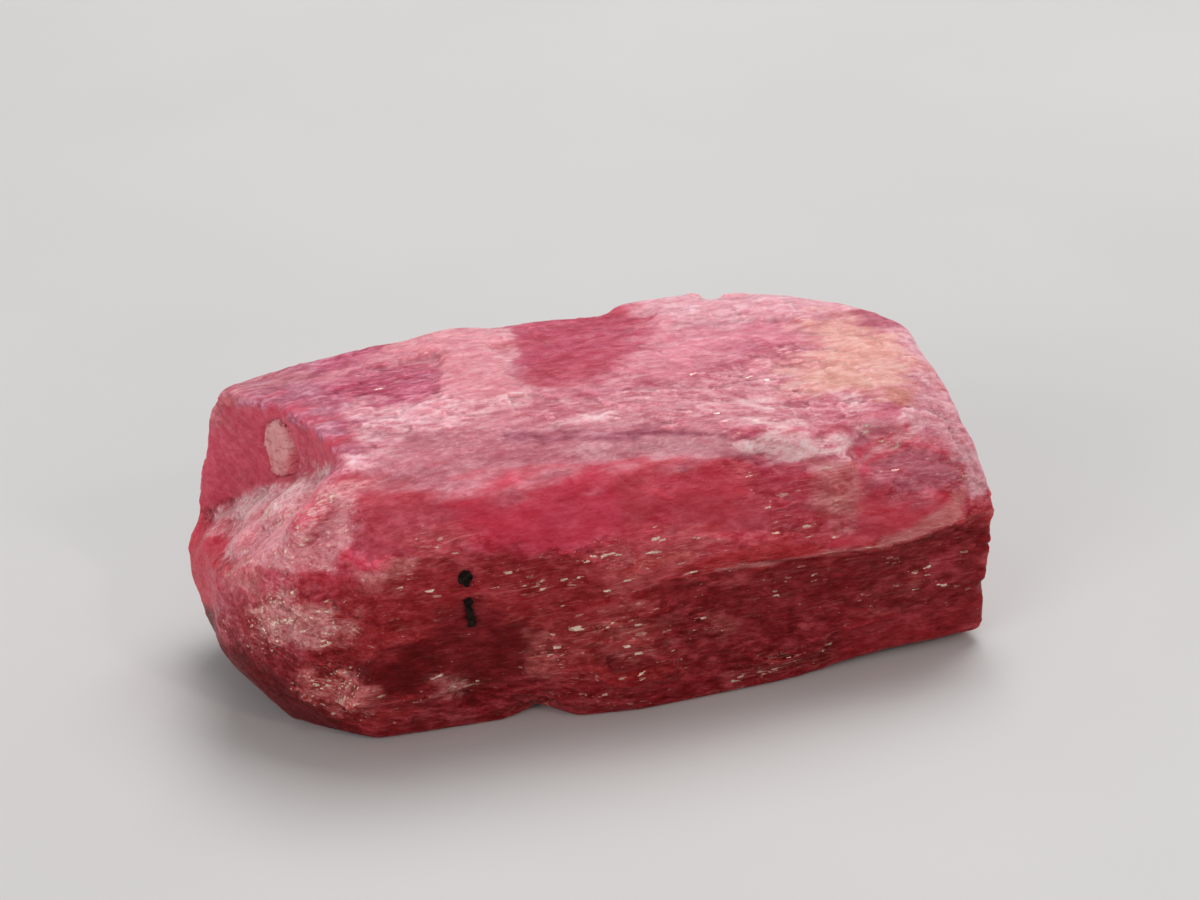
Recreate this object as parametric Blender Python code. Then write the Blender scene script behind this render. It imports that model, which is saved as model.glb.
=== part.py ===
"""A cleaved rhodochrosite crystal with three small grains of other minerals set in it.

Metres, +Z up. The long axis of the crystal, along which it splits, is X; the front
face looks along -Y. The origin is under the middle of the crystal's box, on the
surface that it rests on.
"""

import math
import random

import bmesh
import bpy
from mathutils import Euler, Matrix, Vector

MM = 0.001

# Driving dimensions. The rails below are drawn in millimetres for a crystal of this
# length, depth and height, and are scaled to these three values.
LENGTH = 24.9 * MM
DEPTH = 12.2 * MM
HEIGHT = 9.6 * MM

GRAIN_GAP = 0.03 * MM
SEED = 23

# Rails are the long edges of the crystal, from its left end to its right end, as
# (x, y, z) in millimetres. They go round the section from the front of the base, up
# the front face, over the top and down the back. A base rail below zero is where the
# flat base face is cut.
RAILS = {
    "base_front": [(-10.7, 1.2, 1.4), (-10.3, 0.6, 0.4), (-9.2, -1.0, 0.0), (-7.2, -2.8, -0.3),
                   (-3.4, -3.2, -0.3), (-1.8, -3.1, 0.25), (-0.7, -3.9, -0.3), (1.2, -4.3, -0.3),
                   (5.0, -4.4, -0.2), (9.0, -4.3, 0.25), (13.2, -4.4, 0.3)],
    "front_low": [(-11.2, 0.8, 2.2), (-10.6, -0.5, 1.8), (-9.3, -2.3, 1.6), (-7.0, -3.6, 1.6),
                  (-3.0, -4.0, 1.5), (0.0, -4.7, 1.5), (6.0, -4.8, 1.6), (13.1, -4.6, 1.9)],
    "ledge_under": [(-11.4, 0.6, 3.4), (-10.7, -1.1, 3.6), (-9.3, -2.9, 3.8), (-7.0, -4.1, 4.0),
                    (-2.0, -4.45, 4.4), (3.0, -4.6, 4.9), (8.0, -4.5, 4.3), (12.2, -4.5, 4.6),
                    (13.3, -4.4, 4.1)],
    "ledge_lip": [(-11.3, 0.6, 4.6), (-10.6, -1.2, 4.6), (-9.2, -3.0, 4.8), (-7.0, -4.1, 4.9),
                  (-2.0, -4.5, 5.0), (3.0, -5.0, 5.5), (8.0, -5.2, 4.8), (10.0, -5.3, 4.6),
                  (12.0, -5.1, 5.1), (13.3, -4.7, 4.9)],
    "front_high": [(-10.8, 0.0, 6.6), (-8.9, -3.0, 6.6), (-7.0, -3.9, 7.0), (-2.0, -4.1, 7.4),
                   (3.0, -4.5, 7.4), (8.0, -4.7, 6.6), (12.2, -4.4, 6.2), (13.1, -3.9, 6.2)],
    "bevel_low": [(-10.6, 0.6, 8.2), (-8.6, -2.1, 8.2), (-6.6, -2.9, 8.3), (-2.0, -3.2, 8.4),
                  (3.0, -3.6, 8.2), (8.0, -4.2, 7.6), (12.0, -3.9, 7.0), (13.0, -3.2, 7.1)],
    "ridge": [(-10.4, 1.6, 8.9), (-7.8, -0.2, 9.1), (-6.2, -0.9, 9.1), (-2.4, -1.5, 9.1),
              (0.5, -2.2, 9.0), (3.5, -3.0, 8.9), (8.0, -3.5, 8.2), (11.0, -3.1, 8.1),
              (12.9, -1.8, 7.9)],
    "top_middle": [(-10.2, 3.4, 8.8), (-8.6, 2.6, 9.2), (-6.0, 2.2, 9.4), (0.0, 1.9, 9.4),
                   (8.0, 1.6, 9.3), (12.0, 0.3, 8.8), (13.0, -0.4, 8.3)],
    "top_back": [(-10.1, 4.9, 8.6), (-9.3, 5.3, 8.9), (-8.4, 5.6, 9.0), (-6.7, 5.7, 9.1),
                 (-2.0, 6.1, 9.2), (1.0, 5.6, 9.2), (4.0, 5.6, 9.2), (8.0, 5.5, 9.3),
                 (10.0, 4.6, 9.3), (12.4, 2.2, 9.2), (13.0, 1.4, 8.9)],
    "back_high": [(-9.8, 5.9, 7.6), (-8.8, 6.3, 8.0), (-2.0, 6.8, 8.2), (4.0, 6.5, 8.2),
                  (8.0, 6.2, 8.4), (10.4, 5.2, 8.3), (13.0, 3.0, 8.0)],
    "back_middle": [(-10.2, 5.9, 5.2), (-6.0, 6.5, 4.9), (2.0, 6.6, 5.0), (8.0, 6.3, 5.0),
                    (11.0, 5.5, 4.8), (13.3, 3.6, 5.0)],
    "back_low": [(-11.0, 5.0, 2.6), (-9.8, 5.6, 2.2), (-7.0, 6.1, 1.9), (2.0, 6.2, 1.8),
                 (9.0, 5.8, 2.0), (13.2, 3.7, 2.2)],
    "base_back": [(-10.7, 4.0, 1.2), (-9.4, 4.4, 0.2), (-7.0, 4.9, -0.3), (2.0, 5.2, -0.3),
                  (9.0, 4.8, -0.2), (12.9, 3.0, 0.4)],
}
STATIONS = (-11.4, -10.6, -9.3, -7.2, -5.2, -3.2, -1.8, -0.7, 1.4, 3.6, 5.8, 8.0, 10.0, 11.3, 12.2, 13.3)
END_BULGE = 0.2
FACET_JITTER = 0.09

# Splinters are laths along X. Each field has its lowest x, highest x, lowest and highest
# place around in rails, how many, proud range, and the share of them that are gaps.
SPLINTER_FIELDS = {
    "front_foot": (-8.0, 11.5, 0.5, 2.0, 18, (0.05, 0.16), 0.5),
    "front_face": (-7.5, 11.5, 3.2, 4.8, 18, (0.05, 0.16), 0.5),
    "bevel": (-5.0, 11.0, 5.1, 5.9, 6, (0.04, 0.10), 0.5),
    "top": (-6.5, 10.5, 6.3, 7.9, 22, (0.04, 0.14), 0.5),
    "back": (-9.0, 10.5, 8.3, 11.0, 26, (0.08, 0.24), 0.5),
}
SUNK = 0.6

# Detail of the fused skin in millimetres, the share of its facets that is kept, and the height
# under which a point belongs to the flat base.
SKIN_DETAIL = 0.07
FACET_SHARE = 0.0125
BASE_SNAP = 0.06

# The front face has no splinters at this x, where the dark grains are.
CLEAR_X = -4.5

PLACED_SPLINTERS = {
    "ridge_end_lath": dict(x=6.6, around=5.75, length=4.4, width=0.9, proud=0.16, roll=0.1, skew=0.5),
    "lip_lath": dict(x=9.9, around=3.5, length=3.8, width=1.3, proud=0.14, pitch=-0.05, skew=-0.4),
    "bevel_lath": dict(x=0.4, around=4.85, length=7.0, width=0.7, proud=0.12, roll=-0.1, skew=0.6),
    "foot_lath": dict(x=2.6, around=1.1, length=5.2, width=1.5, proud=0.22, roll=0.1, skew=-0.5),
    "left_foot_lath": dict(x=-6.4, around=1.4, length=3.4, width=1.9, proud=0.2, roll=-0.12, skew=0.5),
}

# Layers of the top that stand proud, each with its outline and how far.
PLATES = {
    "left_top_plate": ([(-5.3, 0.2), (-1.9, -0.4), (-1.0, 0.2), (-1.3, 1.1), (-0.4, 2.5), (-0.1, 3.8),
                        (0.2, 5.3), (-1.2, 6.1), (-2.6, 6.0), (-3.0, 4.5), (-2.7, 2.6), (-3.5, 1.1)], 0.2),
    "right_top_plate": ([(3.5, 5.1), (4.9, 4.7), (4.9, 3.5), (6.5, 3.9), (8.7, 3.2), (9.8, 1.9),
                         (10.6, 3.3), (8.7, 5.0), (6.8, 5.7), (4.1, 5.8)], 0.17),
    "front_top_plate": ([(-6.6, 0.3), (-4.9, -0.7), (-1.0, -1.4), (2.6, -2.3), (3.6, -1.7), (1.2, -0.7),
                         (-2.3, -0.9), (-4.6, 0.4)], 0.12),
}

# Shell-like breaks, each a centre and a radius.
SHELL_BREAKS = {
    "shell_break_of_bevel": ((9.6, -5.2, 8.75), 2.2),
    "shell_break_of_corner": ((15.2, 3.3, 10.5), 2.7),
    "shell_break_of_back": ((-4.6, 8.3, 2.9), 2.6),
}

# Steps of the broken ends: the side, x of the end, ranges of y and z, how many, and the share
# of them that are gaps.
BROKEN_ENDS = {
    "right_end": (1, 13.3, (-3.2, 2.4), (1.2, 7.6), 22, 0.6),
    "left_end": (-1, -11.35, (0.6, 4.4), (1.8, 4.0), 4, 1.0),
}
FOOT_NOTCH = ((13.5, -4.7, 2.1), (1.6, 0.9, 0.4))

SCOOP_RADIUS = 12.0
SCOOP_CENTRE = (-19.3, -1.9, 7.5)
LEDGE_POINT = (-8.9, 1.2, 6.37)
LEDGE_NORMAL = (-0.787, 0.335, 1.0)

# Grains left standing on the ledge, as (x, y, size).
LEDGE_LUMPS = [
    (-7.5, 1.2, 0.9), (-8.1, 2.5, 1.0), (-8.9, 3.8, 1.0), (-9.6, 5.1, 1.0), (-8.6, 0.6, 1.1),
    (-9.2, 2.2, 0.9), (-7.7, -1.2, 1.1), (-8.7, -1.8, 0.9), (-10.1, 3.9, 0.9), (-9.9, 1.0, 0.9),
    (-10.4, 5.2, 0.7),
]

# Grains of other minerals, as a centre, three radii and three angles.
GRAINS = {
    "pale_grain": ((-8.12, 2.8, 7.65), (0.42, 0.78, 1.1), (0.0, 0.0, 0.437)),
    "dark_grain_upper": ((-4.62, -4.17, 5.85), (0.22, 0.17, 0.26), (0.0, 0.3, 0.0)),
    "dark_grain_lower": ((-4.5, -4.25, 4.82), (0.17, 0.18, 0.5), (0.0, -0.1, 0.0)),
}

MATERIALS = {
    "rhodochrosite_crystal": ("rhodochrosite", (0.62, 0.09, 0.17), 0.3),
    "pale_grain": ("pale_calcite", (0.66, 0.42, 0.33), 0.45),
    "dark_grain_upper": ("dark_oxide", (0.015, 0.014, 0.013), 0.5),
    "dark_grain_lower": ("dark_oxide", (0.015, 0.014, 0.013), 0.5),
}


def interpolate(points, x):
    """(y, z) of a rail at x, straight between its points and level beyond them."""
    if x <= points[0][0]:
        return points[0][1:]
    for low, high in zip(points, points[1:]):
        if x <= high[0]:
            share = (x - low[0]) / (high[0] - low[0])
            return tuple(a + (b - a) * share for a, b in zip(low[1:], high[1:]))
    return points[-1][1:]


def rail_point(name, x):
    """A rail's point at station x; the first and last stations follow the rail's own ends."""
    points = RAILS[name]
    x = min(max(x, points[0][0]), points[-1][0])
    return Vector((x, *interpolate(points, x)))


def skin_point(x, around):
    """The loft's surface at x, with around counted in rails from the front of the base."""
    names = list(RAILS)
    index = min(int(around), len(names) - 2)
    return rail_point(names[index], x).lerp(rail_point(names[index + 1], x), around - index)


def skin_axes(x, around):
    """(along, across, outward) unit vectors of the skin at a point."""
    step = 0.4
    along = (skin_point(x + step, around) - skin_point(x - step, around)).normalized()
    last = len(RAILS) - 1
    low, high = max(around - 0.2, 0.0), min(around + 0.2, last)
    across = (skin_point(x, high) - skin_point(x, low)).normalized()
    outward = along.cross(across).normalized()
    return along, outward.cross(along).normalized(), outward


def new_object(name, mesh_maker, helper=False):
    """A scene object whose mesh a function fills in; a helper is a cutter or a splinter."""
    made = bmesh.new()
    mesh_maker(made)
    bmesh.ops.recalc_face_normals(made, faces=made.faces)
    mesh = bpy.data.meshes.new(name)
    made.to_mesh(mesh)
    made.free()
    obj = bpy.data.objects.new(name, mesh)
    bpy.context.scene.collection.objects.link(obj)
    if helper:
        obj.hide_render = True
        obj.display_type = "WIRE"
    return obj


def boolean(obj, other, operation):
    modifier = obj.modifiers.new(operation.lower() + "_" + other.name, "BOOLEAN")
    modifier.operation = operation
    modifier.solver = "EXACT"
    if isinstance(other, bpy.types.Collection):
        modifier.operand_type = "COLLECTION"
        modifier.collection = other
    else:
        modifier.object = other
    return modifier


def loft(made):
    """The crystal's block: sections at the stations joined by flat facets, closed at both ends."""
    rng = random.Random(SEED)
    rings = []
    for x in STATIONS:
        ring = []
        for name in RAILS:
            point = rail_point(name, x)
            jitter = Vector((0.0, rng.uniform(-1, 1), rng.uniform(-1, 1))) * FACET_JITTER
            if name.startswith("base"):
                jitter.zero()
            ring.append(made.verts.new(point + jitter))
        rings.append(ring)
    count = len(RAILS)
    for ring, following in zip(rings, rings[1:]):
        for i in range(count):
            j = (i + 1) % count
            quad = [ring[i], following[i], following[j], ring[j]]
            unique = [v for n, v in enumerate(quad) if v.co != quad[n - 1].co]
            if len(unique) > 2:
                made.faces.new(unique)
    for ring, side in ((rings[0], -1), (rings[-1], 1)):
        middle = sum((v.co for v in ring), Vector()) / count
        hub = made.verts.new(middle + Vector((side * END_BULGE, 0, 0)))
        for i in range(count):
            made.faces.new([hub, ring[i], ring[(i + 1) % count]])
    bmesh.ops.remove_doubles(made, verts=made.verts, dist=1e-4)
    bmesh.ops.triangulate(made, faces=made.faces)


def slab(made, centre, axes, size, skew, taper=0.82):
    """A block with its length, width and thickness along the three axes, in that order; its
    ends break at a skew and its outer face is the smaller one."""
    along, across, outward = axes
    length, width, thick = size
    slant = math.tan(skew) * width / 2
    rings = []
    for level, share in ((-1, 1.0), (1, taper)):
        ring = []
        for u, v in ((-1, -1), (1, -1), (1, 1), (-1, 1)):
            reach = u * (length - (1 - share) * width) / 2 + v * slant
            place = along * reach + across * (v * width / 2 * share) + outward * (level * thick / 2)
            ring.append(made.verts.new(centre + place))
        rings.append(ring)
    close_prism(made, *rings)


def close_prism(made, low, high):
    """Side walls and caps between two rings of the same number of corners."""
    made.faces.new(low)
    made.faces.new(high)
    for i in range(len(low)):
        j = (i + 1) % len(low)
        made.faces.new([low[i], low[j], high[j], high[i]])
    bmesh.ops.triangulate(made, faces=made.faces)


def in_collection(name, objects):
    group = bpy.data.collections.new(name)
    bpy.context.scene.collection.children.link(group)
    for obj in objects:
        bpy.context.scene.collection.objects.unlink(obj)
        group.objects.link(obj)
    group.hide_render = True
    return group


def splinter(name, x, around, length, width, proud, turn=0.0, roll=0.0, pitch=0.0, skew=0.3):
    """A lath of the crystal that stands proud of the skin, or the gap of one that has split off
    when proud is negative. Roll and pitch let its outer face run into the skin on one side."""
    along, across, outward = skin_axes(x, around)
    frame = (
        Matrix.Rotation(turn, 3, outward)
        @ Matrix.Rotation(roll, 3, along)
        @ Matrix.Rotation(pitch, 3, across)
    )
    thick = abs(proud) + SUNK
    centre = skin_point(x, around) + outward * (proud + math.copysign(thick / 2, -proud))
    axes = (frame @ along, frame @ across, frame @ outward)
    return new_object(name, lambda made: slab(made, centre, axes, (length, width, thick), skew), helper=True)


def splinters():
    """The seeded splinters of every field, as (raised objects, gap objects)."""
    rng = random.Random(SEED + 1)
    raised, gaps = [], []
    for field, (x_low, x_high, low, high, count, proud, gap_share) in SPLINTER_FIELDS.items():
        for n in range(count):
            is_gap = rng.random() < gap_share
            length = rng.uniform(1.8, 6.0)
            x = rng.uniform(x_low + length / 3, x_high - length / 3)
            around = rng.uniform(low, high)
            if abs(x - CLEAR_X) < length / 2 + 0.6 and 1.4 < around < 4.6:
                continue
            obj = splinter(
                f"{field}_{'gap' if is_gap else 'splinter'}_{n:02d}",
                x=x,
                around=around,
                length=length,
                width=rng.uniform(0.5, 1.5),
                proud=rng.uniform(*proud) * (-1 if is_gap else 1),
                turn=rng.uniform(-0.06, 0.06),
                roll=rng.uniform(-0.16, 0.16),
                pitch=rng.uniform(-0.035, 0.035),
                skew=rng.uniform(-0.8, 0.8),
            )
            (gaps if is_gap else raised).append(obj)
    return raised, gaps


def top_height(x, y):
    """Height of the crystal's top at a point, between its rails."""
    rails = [rail_point(name, x) for name in ("ridge", "top_middle", "top_back")]
    y = min(max(y, rails[0].y), rails[2].y)
    low, high = (rails[0], rails[1]) if y < rails[1].y else (rails[1], rails[2])
    return low.z + (high.z - low.z) * (y - low.y) / (high.y - low.y)


def plate(name, outline, proud):
    """A layer of the top that stands proud within an outline of (x, y) points."""

    def mesh_maker(made):
        middle = sum((Vector(p) for p in outline), Vector((0, 0))) / len(outline)
        rings = []
        for level, share in ((-SUNK, 1.0), (proud, 0.96)):
            points = [middle + (Vector(p) - middle) * share for p in outline]
            rings.append([made.verts.new((p.x, p.y, top_height(p.x, p.y) + level)) for p in points])
        close_prism(made, *rings)

    return new_object(name, mesh_maker, helper=True)


def lump(made, centre, radii, turn, seed, rough=0.14, detail=2):
    """A rounded broken grain: a sphere of a few facets, pressed to three radii, turned by three
    angles and made uneven."""
    rng = random.Random(seed)
    bmesh.ops.create_icosphere(made, subdivisions=detail, radius=1.0)
    rotation = Euler(turn).to_matrix()
    for vert in made.verts:
        uneven = vert.co * (1 + rng.uniform(-rough, rough))
        vert.co = rotation @ Vector(a * r for a, r in zip(uneven, radii)) + Vector(centre)


def above_plane(made, point, normal):
    """Keeps what lies on the normal's side of a plane and closes the cut."""
    geometry = made.verts[:] + made.edges[:] + made.faces[:]
    cut = bmesh.ops.bisect_plane(made, geom=geometry, plane_co=point, plane_no=normal, clear_inner=True)
    edges = [item for item in cut["geom_cut"] if isinstance(item, bmesh.types.BMEdge)]
    bmesh.ops.contextual_create(made, geom=edges)
    bmesh.ops.triangulate(made, faces=made.faces)


def end_scoop(made):
    """The smooth shell-like break of the upper left end, which stops at the rough ledge."""
    bmesh.ops.create_icosphere(made, subdivisions=4, radius=SCOOP_RADIUS)
    bmesh.ops.translate(made, verts=made.verts, vec=SCOOP_CENTRE)
    above_plane(made, LEDGE_POINT, LEDGE_NORMAL)


def ledge_place(x, y):
    """A point of the sloping ledge of the left end."""
    point, normal = Vector(LEDGE_POINT), Vector(LEDGE_NORMAL)
    z = point.z - (normal.x * (x - point.x) + normal.y * (y - point.y)) / normal.z
    return Vector((x, y, z))


def ledge_lumps():
    """Broken grains left standing on the ledge, most of them along the foot of the scoop."""
    lumps = []
    tilt = Vector((0, 0, 1)).rotation_difference(Vector(LEDGE_NORMAL)).to_euler()
    for n, (x, y, size) in enumerate(LEDGE_LUMPS):
        maker = lambda made: lump(
            made, ledge_place(x, y), (size, size * 0.8, size * 0.45), tilt, SEED + n, rough=0.2
        )
        lumps.append(new_object(f"ledge_lump_{n:02d}", maker, helper=True))
    return lumps


def box(made, low, high):
    """An axis-aligned block between two corners."""
    bmesh.ops.create_cube(made, size=1.0)
    size = Vector(high) - Vector(low)
    middle = (Vector(high) + Vector(low)) / 2
    for vert in made.verts:
        vert.co = Vector(a * b for a, b in zip(vert.co, size)) + middle


def end_steps():
    """The seeded steps of the two broken ends, as (raised objects, gap objects)."""
    rng = random.Random(SEED + 2)
    raised, gaps = [], []
    for name, (side, x, y_range, z_range, count, gap_share) in BROKEN_ENDS.items():
        for n in range(count):
            is_gap = rng.random() < gap_share
            depth = rng.uniform(0.12, 0.42) * (-1 if is_gap else 1)
            turn = Euler((rng.uniform(-0.6, 0.6), rng.uniform(-0.12, 0.12), rng.uniform(-0.12, 0.12)))
            outward = turn.to_matrix() @ Vector((side, 0, 0))
            along = turn.to_matrix() @ Vector((0, 1, 0))
            across = turn.to_matrix() @ Vector((0, 0, 1))
            thick = abs(depth) + SUNK
            centre = Vector((x, rng.uniform(*y_range), rng.uniform(*z_range)))
            centre += outward * (depth + math.copysign(thick / 2, -depth))
            spread = 1.0 if is_gap else 0.6
            size = (rng.uniform(1.2, 3.4) * spread, rng.uniform(0.8, 2.2) * spread, thick)
            skew = rng.uniform(-0.7, 0.7)
            maker = lambda made: slab(made, centre, (along, across, outward), size, skew)
            obj = new_object(f"{name}_{'gap' if is_gap else 'step'}_{n:02d}", maker, helper=True)
            (gaps if is_gap else raised).append(obj)
    centre, size = FOOT_NOTCH
    axes = (Vector((1, 0, 0)), Vector((0, 1, 0)), Vector((0, 0, 1)))
    notch = new_object(
        "foot_notch", lambda made: slab(made, Vector(centre), axes, size, skew=0.2), helper=True
    )
    gaps.append(notch)
    return raised, gaps


def bake(obj, helpers):
    """Replaces obj's mesh by what its modifiers make of it, and removes the helpers."""
    graph = bpy.context.evaluated_depsgraph_get()
    mesh = bpy.data.meshes.new_from_object(obj.evaluated_get(graph))
    obj.modifiers.clear()
    obj.data = mesh
    for helper in helpers:
        bpy.data.objects.remove(helper)
    for group in list(bpy.data.collections):
        if not group.objects:
            bpy.data.collections.remove(group)


def fuse(obj):
    """Makes one skin of well shaped facets from what the modifiers before leave."""
    skin = obj.modifiers.new("one_skin", "REMESH")
    skin.mode = "VOXEL"
    skin.voxel_size = SKIN_DETAIL
    facets = obj.modifiers.new("facets", "DECIMATE")
    facets.ratio = FACET_SHARE
    facets.use_collapse_triangulate = True


def shell_of(face, seen):
    """The faces joined to a face through shared edges."""
    shell, waiting = [], [face]
    seen.add(face)
    while waiting:
        face = waiting.pop()
        shell.append(face)
        for edge in face.edges:
            for other in edge.link_faces:
                if other not in seen:
                    seen.add(other)
                    waiting.append(other)
    return shell


def tidy_skin(obj):
    """Puts the points of the base exactly on the base plane and keeps only the largest shell."""
    made = bmesh.new()
    made.from_mesh(obj.data)
    for vert in made.verts:
        if vert.co.z < BASE_SNAP:
            vert.co.z = 0.0
    bmesh.ops.dissolve_degenerate(made, edges=made.edges, dist=0.003)
    bmesh.ops.triangulate(made, faces=made.faces)
    seen = set()
    shells = sorted((shell_of(face, seen) for face in made.faces if face not in seen), key=len)
    loose = [face for shell in shells[:-1] for face in shell]
    bmesh.ops.delete(made, geom=loose, context="FACES")
    made.to_mesh(obj.data)
    made.free()


def build_crystal():
    crystal = new_object("rhodochrosite_crystal", loft)
    raised, gaps = splinters()
    raised += [plate(name, outline, proud) for name, (outline, proud) in PLATES.items()]
    raised += [splinter(name, **sizes) for name, sizes in PLACED_SPLINTERS.items()]
    end_raised, end_gaps = end_steps()
    raised += end_raised
    gaps += end_gaps
    for name, (centre, radius) in SHELL_BREAKS.items():
        maker = lambda made: lump(made, centre, (radius,) * 3, (0, 0, 0), SEED, rough=0.0, detail=3)
        gaps.append(new_object(name, maker, helper=True))
    scoop = new_object("end_scoop", end_scoop, helper=True)
    lumps = ledge_lumps()
    floor = new_object("floor_cutter", lambda made: box(made, (-20, -20, -5), (20, 20, 0)), helper=True)
    boolean(crystal, in_collection("raised_splinters", raised), "UNION")
    boolean(crystal, in_collection("split_gaps", gaps), "DIFFERENCE")
    boolean(crystal, scoop, "DIFFERENCE")
    boolean(crystal, in_collection("left_on_ledge", lumps), "UNION")
    boolean(crystal, floor, "DIFFERENCE")
    fuse(crystal)
    bake(crystal, [*raised, *gaps, scoop, *lumps, floor])
    tidy_skin(crystal)
    return crystal


def build_grains(crystal):
    """The grains of other minerals, each in a pocket of the crystal a little larger than it."""
    grains, pockets = [], []
    for n, (name, (centre, radii, turn)) in enumerate(GRAINS.items()):
        for gap, made_list, helper in ((0.0, grains, False), (GRAIN_GAP / MM, pockets, True)):
            grown = [radius + gap for radius in radii]
            maker = lambda made: lump(made, centre, grown, turn, SEED + 40 + n)
            made_list.append(new_object("pocket_of_" + name if helper else name, maker, helper=helper))
    for pocket in pockets:
        boolean(crystal, pocket, "DIFFERENCE")
    bake(crystal, pockets)
    return grains


def stand_on_origin(objects, main_piece):
    """Scales the drawing to the driving dimensions and moves it so that the main piece's box
    stands on the origin."""
    points = [vert.co for vert in main_piece.data.vertices]
    low = Vector(min(p[i] for p in points) for i in range(3))
    high = Vector(max(p[i] for p in points) for i in range(3))
    scale = [wanted / (b - a) for wanted, a, b in zip((LENGTH, DEPTH, HEIGHT), low, high)]
    base = Vector(((low.x + high.x) / 2, (low.y + high.y) / 2, low.z))
    place = Matrix.Diagonal((*scale, 1.0)) @ Matrix.Translation(-base)
    for obj in objects:
        obj.data.transform(place)
    return place


def material(name, colour, roughness):
    made = bpy.data.materials.new(name)
    made.use_nodes = True
    made.diffuse_color = (*colour, 1.0)
    shader = made.node_tree.nodes["Principled BSDF"]
    shader.inputs["Base Color"].default_value = (*colour, 1.0)
    shader.inputs["Roughness"].default_value = roughness
    return made


def main():
    for obj in list(bpy.data.objects):
        bpy.data.objects.remove(obj)
    crystal = build_crystal()
    grains = build_grains(crystal)
    for obj in (crystal, *grains):
        name, colour, roughness = MATERIALS[obj.name]
        obj.data.materials.clear()
        obj.data.materials.append(material(name + "_of_" + obj.name, colour, roughness))
    return stand_on_origin([crystal, *grains], crystal)


main()
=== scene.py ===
"""Looks for the rhodochrosite crystal: a finely splintered translucent skin and three set-in grains.

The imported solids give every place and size. Lengths in the tables are millimetres in their frame:
X runs along the crystal, -Y is its front and +Z is up.
"""
import math
from collections import namedtuple
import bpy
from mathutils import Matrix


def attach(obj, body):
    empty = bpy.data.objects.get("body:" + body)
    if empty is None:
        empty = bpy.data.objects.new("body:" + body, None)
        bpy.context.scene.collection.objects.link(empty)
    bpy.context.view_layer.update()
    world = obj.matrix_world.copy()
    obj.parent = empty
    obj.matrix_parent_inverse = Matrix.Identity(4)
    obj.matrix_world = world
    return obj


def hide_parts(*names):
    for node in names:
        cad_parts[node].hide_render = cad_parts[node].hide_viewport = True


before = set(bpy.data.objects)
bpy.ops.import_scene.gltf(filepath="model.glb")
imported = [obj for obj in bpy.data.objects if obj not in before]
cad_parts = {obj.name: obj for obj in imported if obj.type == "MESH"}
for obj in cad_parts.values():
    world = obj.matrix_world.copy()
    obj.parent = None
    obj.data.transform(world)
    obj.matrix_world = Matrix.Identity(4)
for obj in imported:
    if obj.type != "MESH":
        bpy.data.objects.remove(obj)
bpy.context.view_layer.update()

from types import SimpleNamespace

import bmesh
import bpy
import numpy as np
from mathutils import Vector

MM = 0.001
SKIN_STEP = 0.115      # mesh size of the visible skin
CREASE_ANGLE = 38.0    # edges sharper than this stay crisp

# Albedo of the stone and its grains, as display values from 0 to 255
PALETTE = {
    "top_pink": (220, 140, 154),
    "plate_pink": (230, 150, 162),
    "ridge_pink": (238, 172, 184),
    "top_crimson": (196, 98, 124),
    "rose": (230, 146, 164),
    "deep_rose": (196, 84, 106),
    "pale_rose": (238, 176, 188),
    "white_rose": (236, 176, 184),
    "cream": (240, 180, 172),
    "tan": (212, 142, 124),
    "mauve": (190, 106, 124),
    "mauve_rose": (188, 114, 136),
    # Bevel band colours: painted sky reflection on the rough slope, over its own frosting
    "bevel_sheen_rose": (208, 130, 144),
    "bevel_sheen_grey": (222, 156, 168),
    "ridge_shadow": (172, 96, 116),
    "front_pink": (200, 84, 100),
    "crimson": (218, 76, 100),
    "red": (206, 80, 96),
    "ember": (188, 54, 58),
    "wine": (160, 44, 50),
    "dusty_wine": (168, 76, 76),
    "dark_wine": (112, 18, 24),
    "low_red": (140, 34, 40),
    "foot_glow_red": (160, 42, 50),
    # Painted glow of light shining through the thin bottom edges
    "end_rose": (216, 94, 114),
    "nose_rose": (214, 70, 88),
    "ledge_rose": (226, 134, 146),
    "left_rose": (208, 124, 126),
    "end_brown": (140, 50, 54),
    "frost": (248, 206, 210),
    "lilac": (196, 112, 128),
    "end_gold": (200, 128, 132),
    "mauve_pale": (220, 150, 162),
    "brushed": (196, 92, 94),
    "gold_frost": (255, 204, 184),
    # Painted glint colour, on chips that are also partly metallic and so reflect for real
    "fleck": (255, 228, 206),
    "calcite_light": (240, 176, 178),
    "calcite_dark": (214, 128, 124),
    "calcite_border": (214, 100, 116),
    "oxide_light": (44, 32, 26),
    "oxide_dark": (10, 8, 8),
    "oxide_border": (16, 10, 10),
}


def linear(colour):
    """Display values from 0 to 255 as linear light from 0 to 1."""
    c = np.asarray(colour, float) / 255.0
    return np.where(c <= 0.04045, c / 12.92, ((c + 0.055) / 1.055) ** 2.4)


def albedo(name):
    """A colour of the palette as linear light."""
    return linear(PALETTE[name])


def blended(first, second, share):
    """The first value or colour, with the second in its place as far as share says."""
    return first * (1.0 - share) + second * share


def step(values, low, high):
    """Smooth rise from 0 at low to 1 at high."""
    t = np.clip((values - low) / (high - low), 0.0, 1.0)
    return t * t * (3.0 - 2.0 * t)


# Odd multipliers that scatter a cell's number and the seed
HASH_SEED = 2654435761
HASH_AXES = (73856093, 19349663, 83492791)
HASH_ROUNDS = ((16, 2246822507), (13, 3266489909))


def random_at(cell, seed):
    """A steady pseudo-random number from 0 to 1 for each whole-numbered cell."""
    c = cell.astype(np.int64).astype(np.uint32)
    h = np.uint32((seed * HASH_SEED) & 0xFFFFFFFF)
    for axis, factor in enumerate(HASH_AXES):
        h = h ^ (c[..., axis] * np.uint32(factor))
    for shift, factor in HASH_ROUNDS:
        h = (h ^ (h >> np.uint32(shift))) * np.uint32(factor)
    h = h ^ (h >> np.uint32(16))
    return h.astype(np.float64) / 0xFFFFFFFF


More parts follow.
